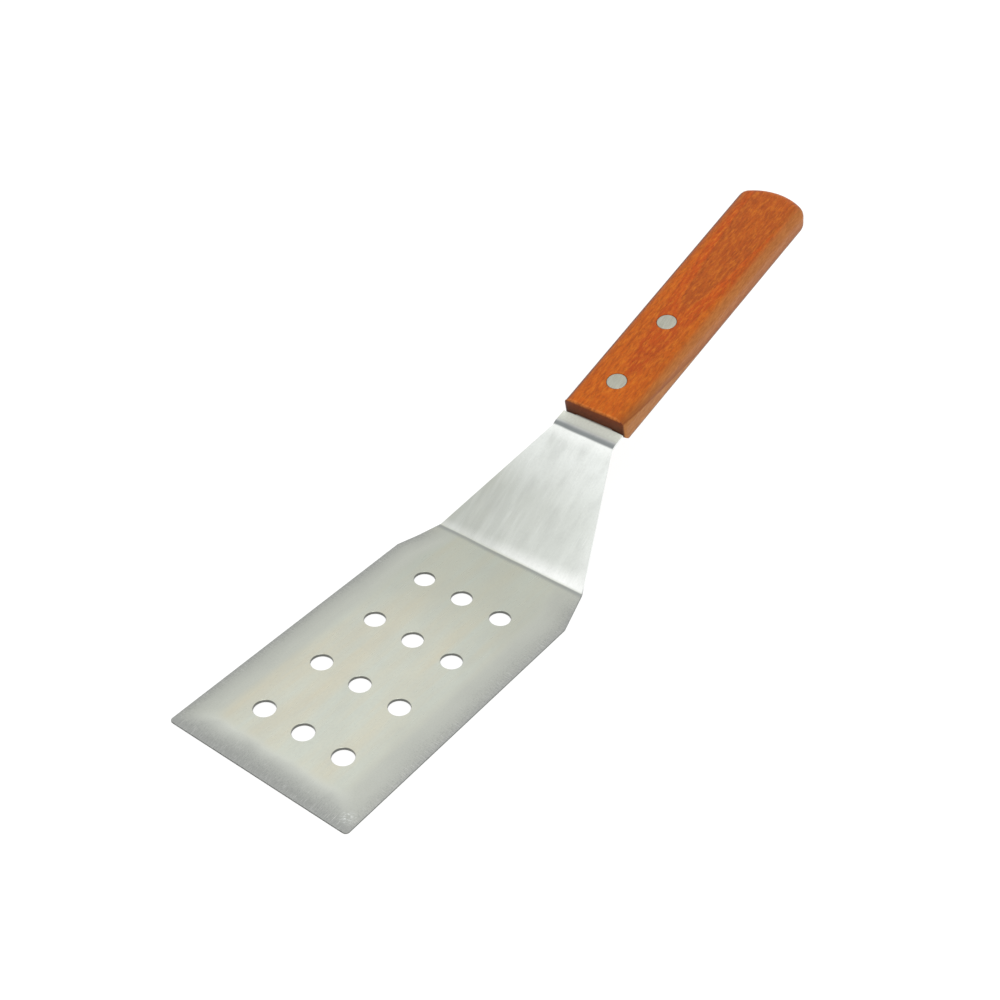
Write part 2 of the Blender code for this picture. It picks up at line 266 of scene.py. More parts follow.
class Sheet:
    """Collects the sheet's mesh, with its own coordinates kept on each vertex for the material."""

    def __init__(self):
        self.bm = bmesh.new()
        self.plan = self.bm.verts.layers.float_vector.new("plan")
        self.edge = self.bm.verts.layers.float_vector.new("edge")

    def vert(self, x, length, side, drop=0.0):
        """A vertex on the top (side 1) or the bottom (side -1), sunk by drop where it is on a cut edge."""
        y, z, slope = middle_line(length)
        up = SHEET_T / 2.0 - drop - (grind(x, length) if side > 0 else 0.0)
        up *= side
        new = self.bm.verts.new((x, y - up * math.sin(slope), z + up * math.cos(slope)))
        distance = edge_distance(x, length)
        by_front = length < half_width(max(length, FRONT_CORNER_R)) - abs(x)
        new[self.plan] = (x, length, 1.0 if drop else 0.0)
        can_be_ground = side > 0 and length < CREASE
        new[self.edge] = (distance, x if by_front else length, 1.0 if can_be_ground else 0.0)
        return new


def spread(start, end, count):
    """Evenly spaced values, both ends included."""
    return [start + (end - start) * i / count for i in range(count + 1)]


def column_lines():
    """Positions across the full-width blade, edge to edge."""
    outer = [HALF_W - (HALF_W - INNER_HALF) * (1.0 - i / OUTER_STEPS) ** OUTER_CROWDING
             for i in range(OUTER_STEPS + 1)]
    inner = spread(-INNER_HALF, INNER_HALF, 3 * CELL_STEPS)
    return [-x for x in reversed(outer[1:])] + inner + outer[1:]


def drain_rows():
    """Lengths of the hole rows' centres."""
    return [HOLE_S0 + i * HOLE_DY for i in range(DRAIN_ROWS)]


def row_lines():
    """Lengths along the sheet that carry a row of vertices."""
    lines = [FRONT_CORNER_R * (1.0 - math.cos(math.radians(a))) for a in range(0, 90, ARC_DEGREES)]
    first = HOLE_S0 - CELL_HALF
    lines += [first - (first - FRONT_CORNER_R) * (1.0 - i / FRONT_STEPS) ** FRONT_CROWDING
              for i in range(FRONT_STEPS)]
    for centre in drain_rows():
        lines += spread(centre - CELL_HALF, centre + CELL_HALF, CELL_STEPS)[:-1]
        if centre < drain_rows()[-1]:
            lines += spread(centre + CELL_HALF, centre + HOLE_DY - CELL_HALF, GAP_STEPS)[:-1]
    last = drain_rows()[-1] + CELL_HALF
    crease_half = bend_half(NECK_ANGLE)
    bend = bend_half(NECK_ANGLE - TANG_ANGLE)
    lines += [last]
    lines += spread(SHOULDER, CREASE - crease_half, REAR_STEPS)[:-1]
    lines += spread(CREASE - crease_half, CREASE + crease_half, CREASE_STEPS)[:-1]
    lines += spread(CREASE + crease_half, BEND - TANG_LEAD, NECK_STEPS)[:-1]
    lines += spread(BEND - TANG_LEAD, BEND - bend, LEAD_STEPS)[:-1]
    lines += spread(BEND - bend, BEND + bend, BEND_STEPS)[:-1]
    shoulder = BEND + HANDLE_START
    lines += spread(BEND + bend, shoulder - 2.0 * SHOULDER_PLAY, SEAT_STEPS)
    start = shoulder - SHOULDER_PLAY
    for y in RIVET_Y:
        lines += spread(start, BEND + y - TANG_CELL_HALF, TANG_STEPS)[:-1]
        lines += spread(BEND + y - TANG_CELL_HALF, BEND + y + TANG_CELL_HALF, CELL_STEPS)[:-1]
        start = BEND + y + TANG_CELL_HALF
    lines.append(min(start, SHEET_END - TANG_END_R))
    lines += [SHEET_END - TANG_END_R * (1.0 - math.sin(math.radians(a)))
              for a in range(0, 91, ARC_DEGREES)]
    return sorted(set(round(value, 9) for value in lines))


def hole_centres():
    """Every round hole of the sheet: (x, length, radius, half cell across, half cell along)."""
    found = []
    for length in drain_rows():
        for col in (-1, 0, 1):
            found.append((col * HOLE_DX, length, HOLE_R, CELL_HALF, CELL_HALF))
    across = INNER_HALF * TANG_IN_HALF_W / HALF_W
    for y in RIVET_Y:
        found.append((0.0, BEND + y, SLEEVE_R + BORE_PLAY, across, TANG_CELL_HALF))
    return found


def hole_cell(sheet, hole, xs, ss):
    """One rectangular block of the sheet with a chamfered round hole in it."""
    cx, cs, radius = hole[:3]
    border = [(x, ss[0]) for x in xs[:-1]] + [(xs[-1], s) for s in ss[:-1]]
    border += [(x, ss[-1]) for x in reversed(xs[1:])] + [(xs[0], s) for s in reversed(ss[1:])]

    def ring(part, wide):
        """Points between the border (part 0) and a circle (part 1)."""
        points = []
        for x, s in border:
            angle = math.atan2(s - cs, x - cx)
            points.append((x + part * (cx + wide * math.cos(angle) - x),
                           s + part * (cs + wide * math.sin(angle) - s)))
        return points

    flat = [ring(part, radius + RIM) for part in HOLE_RINGS]
    wall = ring(1.0, radius)
    loops = [[sheet.vert(x, s, 1) for x, s in points] for points in flat]
    loops.append([sheet.vert(x, s, 1, RIM) for x, s in wall])
    loops.append([sheet.vert(x, s, -1, RIM) for x, s in wall])
    loops += [[sheet.vert(x, s, -1) for x, s in points] for points in reversed(flat)]
    bridge_loops(sheet.bm, loops)


def border_loop(columns, rows):
    """Grid indices round the sheet's outline, in order."""
    last_c, last_r = len(columns) - 1, len(rows) - 1
    loop = [(c, 0) for c in range(last_c)] + [(last_c, r) for r in range(last_r)]
    return loop + [(c, last_r) for c in range(last_c, 0, -1)] + [(0, r) for r in range(last_r, 0, -1)]


def build_sheet():
    """The blade, neck and tang as one closed, finely meshed sheet."""
    sheet = Sheet()
    columns, rows = column_lines(), row_lines()
    plan = {(c, r): (u * half_width(s) / HALF_W, s)
            for c, u in enumerate(columns) for r, s in enumerate(rows)}
    loop = border_loop(columns, rows)
    outline = [Vector(plan[key]) for key in loop]
    inset = dict(plan)
    for i, key in enumerate(loop):
        tangent = (outline[(i + 1) % len(loop)] - outline[i - 1]).normalized()
        inset[key] = tuple(outline[i] + RIM * Vector((-tangent.y, tangent.x)))
    holes = hole_centres()

    def in_cell(c, r):
        """Whether a grid square lies in the block round a hole."""
        x = (plan[c, r][0] + plan[c + 1, r][0]) / 2.0
        s = (rows[r] + rows[r + 1]) / 2.0
        return any(abs(x - h[0]) < h[3] and abs(s - h[1]) < h[4] for h in holes)

    for side in (1, -1):
        verts = {key: sheet.vert(*point, side) for key, point in inset.items()}
        for c in range(len(columns) - 1):
            for r in range(len(rows) - 1):
                if not in_cell(c, r):
                    quad = (verts[c, r], verts[c + 1, r], verts[c + 1, r + 1], verts[c, r + 1])
                    sheet.bm.faces.new(quad)
    for hole in holes:
        ss = [s for s in rows if abs(s - hole[1]) < hole[4] + ON_LINE]
        scale = half_width(hole[1]) / HALF_W
        xs = [u * scale for u in columns if abs(u * scale - hole[0]) < hole[3] + ON_LINE]
        hole_cell(sheet, hole, xs, ss)
    walls = [[sheet.vert(*inset[key], 1) for key in loop],
             [sheet.vert(p.x, p.y, 1, RIM) for p in outline],
             [sheet.vert(p.x, p.y, -1, RIM) for p in outline],
             [sheet.vert(*inset[key], -1) for key in loop]]
    bridge_loops(sheet.bm, walls)
    loose = [v for v in sheet.bm.verts if not v.link_faces]
    bmesh.ops.delete(sheet.bm, geom=loose, context="VERTS")
    bmesh.ops.remove_doubles(sheet.bm, verts=sheet.bm.verts, dist=WELD)
    return sheet.bm


# ---- Handle form ----
def corner_arc(centre, radius, start, end, steps):
    """Points of an arc, angles in radians."""
    return [(centre[0] + radius * math.cos(start + (end - start) * i / steps),
             centre[1] + radius * math.sin(start + (end - start) * i / steps)) for i in range(steps + 1)]


def handle_ring(inset, inner):
    """Right half of a level's outline with each point's edge rounding: [(x, y, radius)].

    inset runs 0 to 1 over the edge rounding, then inner runs 0 to 1 from there to the centre line.
    """
    front_drop = HANDLE_FRONT_R * inset + inner * (HANDLE_HALF_W0 - HANDLE_EDGE_R0)
    side_drop = HANDLE_EDGE_R0 * inset + inner * (HANDLE_HALF_W0 - HANDLE_EDGE_R0)
    end_drop = HANDLE_EDGE_R1 * inset + inner * (HANDLE_HALF_W1 - HANDLE_EDGE_R1)
    front = HANDLE_START + front_drop
    side = HANDLE_HALF_W0 - side_drop
    radius = max(HANDLE_FRONT_CORNER - 0.5 * (front_drop + side_drop), CORNER_R_MIN)
    radius = min(radius, side * CORNER_SHARE)
    ring = [(part * (side - radius), front, HANDLE_FRONT_R) for part in FRONT_PARTS]
    arc = corner_arc((side - radius, front + radius), radius, -math.pi / 2.0, 0.0, FRONT_ARC_STEPS)
    for i, (x, y) in enumerate(arc):
        part = i / FRONT_ARC_STEPS
        blend = part * part * (3.0 - 2.0 * part)
        ring.append((x, y, HANDLE_FRONT_R + blend * (HANDLE_EDGE_R0 - HANDLE_FRONT_R)))

    bulge = HANDLE_END_BULGE
    arc_r = (HANDLE_HALF_W1 ** 2 + bulge ** 2) / (2.0 * bulge)
    centre_y = HANDLE_END - arc_r
    corner = max(HANDLE_END_CORNER - end_drop, CORNER_R_MIN)
    corner = min(corner, (HANDLE_HALF_W1 - end_drop) * CORNER_SHARE)
    corner_x = HANDLE_HALF_W1 - end_drop - corner
    corner_y = centre_y + math.sqrt((arc_r - end_drop - corner) ** 2 - corner_x ** 2)
    turn = math.atan2(corner_y - centre_y, corner_x)
    rear = corner_arc((corner_x, corner_y), corner, 0.0, turn, END_CORNER_STEPS)
    rear += corner_arc((0.0, centre_y), arc_r - end_drop, turn, math.pi / 2.0, END_ARC_STEPS)[1:]
    x0, y0 = ring[-1][:2]
    for i in range(1, SIDE_STEPS):
        part = i / SIDE_STEPS
        ring.append((x0 + part * (rear[0][0] - x0), y0 + part * (rear[0][1] - y0),
                     HANDLE_EDGE_R0 + part * (HANDLE_EDGE_R1 - HANDLE_EDGE_R0)))
    return ring + [(x, y, HANDLE_EDGE_R1) for x, y in rear]


def handle_levels():
    """Levels from the middle plane to the top: (inset, rise factor, inner)."""
    levels = []
    for i in range(ROUNDING_STEPS + 1):
        angle = math.radians(90.0 * i / ROUNDING_STEPS)
        levels.append((1.0 - math.cos(angle), 1.0 - math.sin(angle), 0.0))
    return levels + [(1.0, 0.0, inner) for inner in FACE_PARTS]


def handle_solid():
    """The rounded handle before its mortise, bevel and bores are cut, in the tang frame."""
    bm = bmesh.new()
    levels = handle_levels()
    loops = []
    for sign, part in [(-1.0, level) for level in reversed(levels)] + [(1.0, level) for level in levels]:
        inset, rise, inner = part
        right = handle_ring(inset, inner)
        full = right + [(-x, y, radius) for x, y, radius in reversed(right[1:-1])]
        sag = CROWN * (1.0 - inner) ** 2
        loops.append([bm.verts.new((x, y, sign * (HANDLE_HALF_T - sag - radius * rise)))
                      for x, y, radius in full])
    bridge_loops(bm, loops)
    for loop in (loops[0], loops[-1]):
        count = len(loop)
        for i in range(count // 2):
            strip = [loop[i], loop[i + 1], loop[(count - i - 1) % count], loop[(count - i) % count]]
            bm.faces.new(list(dict.fromkeys(strip)))
    bmesh.ops.recalc_face_normals(bm, faces=bm.faces)
    return bm


def turned(bm, centre_y, profile):
    """Add a closed turned solid from (radius, z) points that start and end on caps."""
    loops = []
    for radius, z in profile:
        loops.append([bm.verts.new((radius * math.cos(2.0 * math.pi * i / TURN_STEPS),
                                    centre_y + radius * math.sin(2.0 * math.pi * i / TURN_STEPS), z))
                      for i in range(TURN_STEPS)])
    bridge_loops(bm, loops)
    bm.faces.new(loops[0])
    bm.faces.new(loops[-1])


def mortise_solid():
    """What the mortise for the tang takes out of the handle."""
    bm = bmesh.new()
    half = SHEET_T / 2.0 + MORTISE_PLAY
    wide = TANG_IN_HALF_W + MORTISE_PLAY
    start = HANDLE_START - MORTISE_OVERRUN
    end = TANG_LEN + MORTISE_PLAY
    plan = ((-wide, start), (wide, start), (wide, end), (-wide, end))
    low = [bm.verts.new((x, y, -half)) for x, y in plan]
    high = [bm.verts.new((x, y, half)) for x, y in plan]
    bridge_loops(bm, (low, high))
    bm.faces.new(low)
    bm.faces.new(high)
    return bm


def under_bevel_solid():
    """A wedge that slopes the front face back below the tang."""
    bm = bmesh.new()
    top = Vector((HANDLE_START, -UNDER_BEVEL_TOP))
    slope = Vector((UNDER_BEVEL_LEN, UNDER_BEVEL_TOP - HANDLE_HALF_T))
    start = top - UNDER_BEVEL_REACH * slope
    end = top + (1.0 + UNDER_BEVEL_REACH) * slope
    outline = (start, end, (start.x, end.y))
    ends = [[bm.verts.new((x, y, z)) for y, z in outline] for x in (-HALF_W, HALF_W)]
    bridge_loops(bm, ends)
    for ring in ends:
        bm.faces.new(ring)
    return bm


def bore_solid():
    """What the drill takes out for both rivets, with eased rims."""
    bm = bmesh.new()
    seat = HANDLE_HALF_T - HEAD_T
    wide, narrow = HEAD_R + SEAT_PLAY, SLEEVE_R + BORE_PLAY
    rim = HANDLE_HALF_T - BORE_FLARE
    past = FLARE_OVERRUN * BORE_FLARE
    upper = [(narrow, seat), (wide, seat), (wide, rim), (wide + past, rim + past)]
    profile = [(radius, -z) for radius, z in reversed(upper)] + upper
    for y in RIVET_Y:
        turned(bm, y, profile)
    return bm


# ---- Objects ----
def tang_matrix():
    """Place of the tang frame in the row frame."""
    y, z = bend_points()[-1][1:3]
    return Matrix.Translation((0.0, y, z)) @ Matrix.Rotation(TANG_ANGLE, 4, "X")


def linked(name, data):
    """A new object in the scene."""
    obj = bpy.data.objects.new(name, data)
    bpy.context.scene.collection.objects.link(obj)
    return obj


def object_from(name, bm):
    """A linked object with the bmesh as its mesh."""
    bmesh.ops.recalc_face_normals(bm, faces=bm.faces)
    mesh = bpy.data.meshes.new(name)
    bm.to_mesh(mesh)
    bm.free()
    return linked(name, mesh)


def cut(obj, cutters):
    """Cut an object's mesh with each cutter bmesh, and keep only the result."""
    helpers = []
    for i, bm in enumerate(cutters):
        helper = object_from("cutter_%d" % i, bm)
        helpers.append(helper)
        mod = obj.modifiers.new("cut_%d" % i, "BOOLEAN")
        mod.operation = "DIFFERENCE"
        mod.solver = "EXACT"
        mod.object = helper
    depsgraph = bpy.context.evaluated_depsgraph_get()
    result = bpy.data.meshes.new_from_object(obj.evaluated_get(depsgraph))
    obj.modifiers.clear()
    obj.data = result
    for helper in helpers:
        bpy.data.objects.remove(helper, do_unlink=True)


def keep_local_place(obj, name):
    """Store each vertex's present place on the mesh, for the material to read."""
    store = obj.data.attributes.new(name, "FLOAT_VECTOR", "POINT")
    for vert, item in zip(obj.data.vertices, store.data):
        item.vector = vert.co


def shade(obj, degrees):
    """Shade smooth, with edges sharper than an angle kept sharp."""
    obj.data.shade_smooth()
    obj.data.set_sharp_from_angle(angle=math.radians(degrees))


def finish_piece(obj, material, node):
    """Give a piece its material, body, CAD node and finish slot."""
    obj.data.materials.clear()
    obj.data.materials.append(material)
    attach(obj, BODY)
    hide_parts(node)


# ---- Material helpers ----
Field = namedtuple("Field", "cells detail roughness offset", defaults=(3.0, 0.5, None))
Field.__doc__ = "A noise pattern: cells per metre each way, detail, roughness and a shift of its place."
Tint = namedtuple("Tint", "window strength colour")
Tint.__doc__ = "A colour mixed in from nothing to a strength over a window of values."


class Nodes:
    """Short names for building a node material."""

    def __init__(self, name):
        self.material = bpy.data.materials.new(name)
        self.material.use_nodes = True
        self.tree = self.material.node_tree
        self.shader = self.tree.nodes["Principled BSDF"]

    def plug(self, socket, value):
        """Link a socket or set a plain value."""
        if isinstance(value, bpy.types.NodeSocket):
            self.tree.links.new(value, socket)
        else:
            socket.default_value = value

    def attribute(self, name):
        """A vector stored on the mesh."""
        node = self.tree.nodes.new("ShaderNodeAttribute")
        node.attribute_name = name
        return node.outputs["Vector"]

    def parts(self, vector):
        """The three parts of a vector."""
        node = self.tree.nodes.new("ShaderNodeSeparateXYZ")
        self.plug(node.inputs[0], vector)
        return node.outputs[0], node.outputs[1], node.outputs[2]

    def join(self, x, y, z):
        """A vector from three parts."""
        node = self.tree.nodes.new("ShaderNodeCombineXYZ")
        for socket, value in zip(node.inputs, (x, y, z)):
            self.plug(socket, value)
        return node.outputs[0]

    def math(self, operation, a, b=0.0, c=0.0):
        """A math node."""
        node = self.tree.nodes.new("ShaderNodeMath")
        node.operation = operation
        for socket, value in zip(node.inputs, (a, b, c)):
            self.plug(socket, value)
        return node.outputs[0]

    def times(self, a, b):
        """The product of two values."""
        return self.math("MULTIPLY", a, b)

    def plus(self, a, b):
        """The sum of two values."""
        return self.math("ADD", a, b)

    def minus(self, a, b):
        """The difference of two values."""
        return self.math("SUBTRACT", a, b)

    def vector_math(self, operation, a, b):
        """A vector math node."""
        node = self.tree.nodes.new("ShaderNodeVectorMath")
        node.operation = operation
        self.plug(node.inputs[0], a)
        self.plug(node.inputs[1], b)
        return node.outputs[0]

    def field(self, place, field):
        """The value of a noise field at a place."""
        if field.offset:
            place = self.vector_math("ADD", place, field.offset)
        node = self.tree.nodes.new("ShaderNodeTexNoise")
        self.plug(node.inputs["Vector"], self.vector_math("MULTIPLY", place, field.cells))
        node.inputs["Scale"].default_value = 1.0
        node.inputs["Detail"].default_value = field.detail
        node.inputs["Roughness"].default_value = field.roughness
        return node.outputs["Fac"]

    def fit(self, value, low, high, out_low=0.0, out_high=1.0, smooth=False):
        """Map low..high to out_low..out_high, held at the ends."""
        node = self.tree.nodes.new("ShaderNodeMapRange")
        node.clamp = True
        node.interpolation_type = "SMOOTHSTEP" if smooth else "LINEAR"
        for socket, item in zip(node.inputs, (value, low, high, out_low, out_high)):
            self.plug(socket, item)
        return node.outputs[0]

    def ramp(self, value, stops):
        """Colour ramp from (position, colour) stops."""
        node = self.tree.nodes.new("ShaderNodeValToRGB")
        points = node.color_ramp.elements
        while len(points) < len(stops):
            points.new(0.5)
        for point, (position, rgb) in zip(points, stops):
            point.position = position
            point.color = (*rgb, 1.0)
        self.plug(node.inputs[0], value)
        return node.outputs[0]

    def mix(self, factor, a, b):
        """Mix two colours."""
        node = self.tree.nodes.new("ShaderNodeMix")
        node.data_type = "RGBA"
        self.plug(node.inputs[0], factor)
        for socket, value in zip((node.inputs[6], node.inputs[7]), (a, b)):
            self.plug(socket, value if isinstance(value, bpy.types.NodeSocket) else (*value, 1.0))
        return node.outputs[2]

    def tint(self, colour, value, tint, smooth=False, where=None):
        """Mix a tint into a colour by a value, and only where another value allows it."""
        factor = self.fit(value, *tint.window, 0.0, tint.strength, smooth=smooth)
        if where is not None:
            factor = self.times(factor, where)
        return self.mix(factor, colour, tint.colour)

    def bump(self, height, distance, strength, below=None):
        """A bumped normal, on top of another one if given."""
        node = self.tree.nodes.new("ShaderNodeBump")
        node.inputs["Distance"].default_value = distance
        node.inputs["Strength"].default_value = strength
        self.plug(node.inputs["Height"], height)
        if below is not None:
            self.plug(node.inputs["Normal"], below)
        return node.outputs["Normal"]

    def finish(self, colour, metallic, rough, normal):
        """Plug in the shader's main inputs and give the material."""
        for name, value in (("Base Color", colour), ("Metallic", metallic), ("Roughness", rough),
                            ("Normal", normal)):
            self.plug(self.shader.inputs[name], value)
        return self.material


# ---- Steel: whole sheet ----
BRUSHING = Field((5200.0, 90.0, 1.0), 4.0, 0.65)
BRUSHING_TINT = Tint((0.35, 0.75), 0.11, (0.36, 0.37, 0.35))
STREAKS = Field((95.0, 9.0, 1.0), 4.0, 0.62)
WARM_STREAKS = (0.40, 0.66)         # window of the streaks that turns the steel warm
CLOUDS = Field((75.0, 38.0, 1.0), 4.0, 0.6)
CLOUD_TINT = Tint((0.42, 0.70), 0.22, (0.43, 0.445, 0.41))
GRAIN = Field((1100.0, 900.0, 1.0), 3.0, 0.7)
GRAIN_TINT = Tint((0.45, 0.75), 0.16, (0.40, 0.41, 0.39))
UNEVEN = Field((70.0, 55.0, 1.0), offset=(0.4, 0.9, 0.0))
UNEVEN_WINDOW = (0.25, 0.75)
# Cut walls: painted shade on the blade's edge and hole walls, and a painted highlight on the neck's and
# tang's walls
WALL_MIX = 0.9
WALL_TONE_S = (CREASE - 0.0010, CREASE + 0.0030)
BLADE_WALL_SHADE = (0.10, 0.10, 0.095)
NECK_WALL_HIGHLIGHT = (0.90, 0.92, 0.90)
BRUSHING_ROUGH = (0.3, 0.7, 0.26, 0.36)
BAND_ROUGHER = 0.12
TANG_ROUGHER = 0.20
BRUSHING_RELIEF = (0.00002, 0.35)   # depth and strength
MARK_RELIEF = (0.00004, 0.5)

# ---- Steel: flat of the blade ----
BLADE_COOL = (0.625, 0.655, 0.575)
BLADE_WARM = (0.650, 0.625, 0.500)
# Painted shade towards the first bend and both sides of the flat, and a painted highlight at its rear
# right, stand in for its reflections
BLADE_REAR_SHADE = Tint((0.070, 0.118), 0.34, (0.345, 0.375, 0.315))
BLADE_LEFT_X = (-0.036, -0.016)
BLADE_LEFT_MIX = 0.24
BLADE_LEFT_SHADE = (0.36, 0.375, 0.33)
BLADE_RIGHT_SHADE = Tint((0.014, 0.034), 0.30, (0.40, 0.42, 0.39))
REAR_RIGHT_X = (0.006, 0.030)
REAR_RIGHT_S = (0.100, 0.128)
REAR_RIGHT_MIX = 0.22
REAR_RIGHT_HIGHLIGHT = (0.72, 0.75, 0.68)

# ---- Steel: ground band along the edges ----
MARKS = Field((260.0, 4200.0, 1.0), 3.0, 0.7)
MARK_TINT = Tint((0.55, 0.72), 0.55, (0.80, 0.81, 0.79))
SPECKS = Field((1500.0, 2600.0, 1.0), 2.0, 0.6)
SPECK_TINT = Tint((0.50, 0.66), 0.55, (0.22, 0.23, 0.23))
LEFT_MITRE = (-0.004, 0.004)        # how far past the left mitre the band takes the side's tones
LEFT_FADE_X = (-0.01, 0.01)
# The changes below shape the band's painted shade differently on the left and right
LEFT_NARROWER = 1.45
LEFT_LIGHTER = 0.0012               # the tones are taken this much further in
RIGHT_MITRE = (-0.003, 0.005)
RIGHT_FADE_X = (0.008, 0.018)
RIGHT_LIGHTER = (0.0012, 0.0026)    # away from the front corner and at it
CORNER_X = (0.018, 0.030)
CORNER_S = (0.040, 0.012)
BAND_WANDER = (0.80, 1.20)
# Tones across the ground band: its ground finish, darkened towards the edge by painted shade of the
# sloping band
FRONT_BAND_AND_SHADE = ((0.0, (0.35, 0.36, 0.345)), (0.16, (0.345, 0.355, 0.335)), (0.48, (0.455, 0.470, 0.435)),
              (0.80, (0.615, 0.635, 0.580)), (1.0, (0.625, 0.645, 0.572)))
SIDE_BAND_AND_SHADE = ((0.0, (0.34, 0.35, 0.335)), (0.12, (0.385, 0.395, 0.375)), (0.30, (0.440, 0.452, 0.415)),
             (0.55, (0.490, 0.505, 0.460)), (1.0, (0.545, 0.562, 0.505)))
BAND_OUTER = (0.0030, 0.0075)       # the marks fade out over these distances from the edge
BAND_OUTER_REST = 0.20
BAND_START = (GRIND_W * 1.02, GRIND_W * 0.66)
BAND_AT_CREASE = 0.35
SCUFF_CORE = 0.0012
SCUFFS = Field((520.0, 1700.0, 1.0), 4.0, 0.75)
SCUFF_WINDOW = (0.50, 0.64)
SCUFF_MIX = 0.85
SCUFF_COLOUR = (0.80, 0.83, 0.81)

# ---- Steel: neck ----
NECK_START_S = (CREASE - 0.0004, CREASE + 0.0010)
NECK_COOL = (0.462, 0.482, 0.444)
NECK_WARM = (0.428, 0.442, 0.396)
# Painted highlights: the neck's right side, top, right edge and both bends are lightened to stand in for
# reflections
NECK_SIDE_X = (-0.024, 0.022)
NECK_RIGHT_HIGHLIGHT = (0.645, 0.672, 0.635)
NECK_UPPER_S = (CREASE + 0.024, BEND - 0.012)
NECK_UPPER_MIX = 0.60
NECK_UPPER_HIGHLIGHT = (0.855, 0.885, 0.865)
NECK_CLOUDS = Field((150.0, 75.0, 1.0), 4.0, 0.6)
NECK_CLOUD_TINT = Tint((0.50, 0.72), 0.32, (0.420, 0.435, 0.415))
NECK_RAYS = Field((260.0, 34.0, 1.0), 3.0, 0.6, (0.7, 0.2, 0.0))
NECK_RAY_TINT = Tint((0.46, 0.74), 0.28, (0.800, 0.825, 0.790))
NECK_EDGE_GLOW = Tint((0.020, 0.033), 0.55, (0.930, 0.950, 0.925))
NECK_TOP_GLOW = Tint((BEND - 0.0075, BEND - 0.0020), 0.62, (0.930, 0.950, 0.925))
FOLD_GLOW_X = (-0.030, 0.030)
FOLD_GLOW_REACH = (0.0045, 0.0085)  # how far up the neck the glow reaches, left and right
FOLD_GLOW_START = 0.08
FOLD_GLOW_MIX_X = (-0.012, 0.014)
FOLD_GLOW_MIX = (0.26, 0.76)
FOLD_GLOW = (0.975, 0.985, 0.965)

# ---- Steel: the two bends and the tang ----
LINE_WANDER = (-0.0003, 0.0003)
FOLD_LINE_AT = CREASE - 0.0002
FOLD_LINE_RISE = (-0.0003, 0.0002)
FOLD_LINE_FALL = (0.0006, 0.0026)
FOLD_LINE_MIX = 0.62
FOLD_LINE = (0.25, 0.265, 0.27)
BEND_LINE_AT = BEND + 0.0001
BEND_LINE_RISE = (-0.0018, -0.0011)
BEND_LINE_FALL = (-0.0004, 0.0019)
BEND_LINE_MIX = 0.86
BEND_LINE = (0.120, 0.135, 0.140)
TANG_START_S = (BEND + 0.0006, BEND + 0.0016)
# The tang lightens from the bend towards the handle: painted light that offsets the handle's shade on it
TANG_TONE_S = (BEND + 0.0015, BEND + 0.0050)
TANG_LOWER = (0.565, 0.590, 0.530)
TANG_UPPER_PAINTED_LIGHT = (0.84, 0.88, 0.79)
TANG_GRAIN = Tint((0.35, 0.70), 0.22, (0.38, 0.37, 0.32))
TANG_METALLIC = 0.15
SEAT = BEND + HANDLE_START          # length at which the tang meets the wood
SEAT_SHADE = Tint((SEAT - 0.0008, SEAT - 0.0001), 0.80, (0.14, 0.12, 0.10))


def blade_colour(n, across, length, warm):
    """Colour of the blade's flat part: darker towards the first bend and its two sides."""
    colour = n.mix(warm, BLADE_COOL, BLADE_WARM)
    colour = n.tint(colour, length, BLADE_REAR_SHADE, smooth=True)
    left_side = n.fit(across, *BLADE_LEFT_X, BLADE_LEFT_MIX, 0.0, smooth=True)
    colour = n.mix(left_side, colour, BLADE_LEFT_SHADE)
    colour = n.tint(colour, across, BLADE_RIGHT_SHADE, smooth=True)
    rear_right = n.times(n.fit(across, *REAR_RIGHT_X), n.fit(length, *REAR_RIGHT_S))
    return n.mix(n.times(rear_right, REAR_RIGHT_MIX), colour, REAR_RIGHT_HIGHLIGHT)


def neck_colour(n, plan, across, length, warm):
    """Colour of the neck: brighter towards its right side, its top and both bends, with soft clouds."""
    base = n.mix(warm, NECK_COOL, NECK_WARM)
    colour = n.mix(n.fit(across, *NECK_SIDE_X), base, NECK_RIGHT_HIGHLIGHT)
    upper = n.fit(length, *NECK_UPPER_S)
    colour = n.mix(n.times(upper, NECK_UPPER_MIX), colour, NECK_UPPER_HIGHLIGHT)
    colour = n.tint(colour, n.field(plan, NECK_CLOUDS), NECK_CLOUD_TINT)
    colour = n.tint(colour, n.field(plan, NECK_RAYS), NECK_RAY_TINT)
    colour = n.tint(colour, across, NECK_EDGE_GLOW, smooth=True)
    colour = n.tint(colour, length, NECK_TOP_GLOW, smooth=True)
    reach = n.fit(across, *FOLD_GLOW_X, *FOLD_GLOW_REACH)
    from_fold = n.math("DIVIDE", n.minus(length, CREASE), reach)
    near_fold = n.times(n.fit(from_fold, FOLD_GLOW_START, 1.0, smooth=True), -1.0)
    strength = n.fit(across, *FOLD_GLOW_MIX_X, *FOLD_GLOW_MIX)
    near_fold = n.times(n.plus(near_fold, 1.0), strength)
    return n.mix(near_fold, colour, FOLD_GLOW)


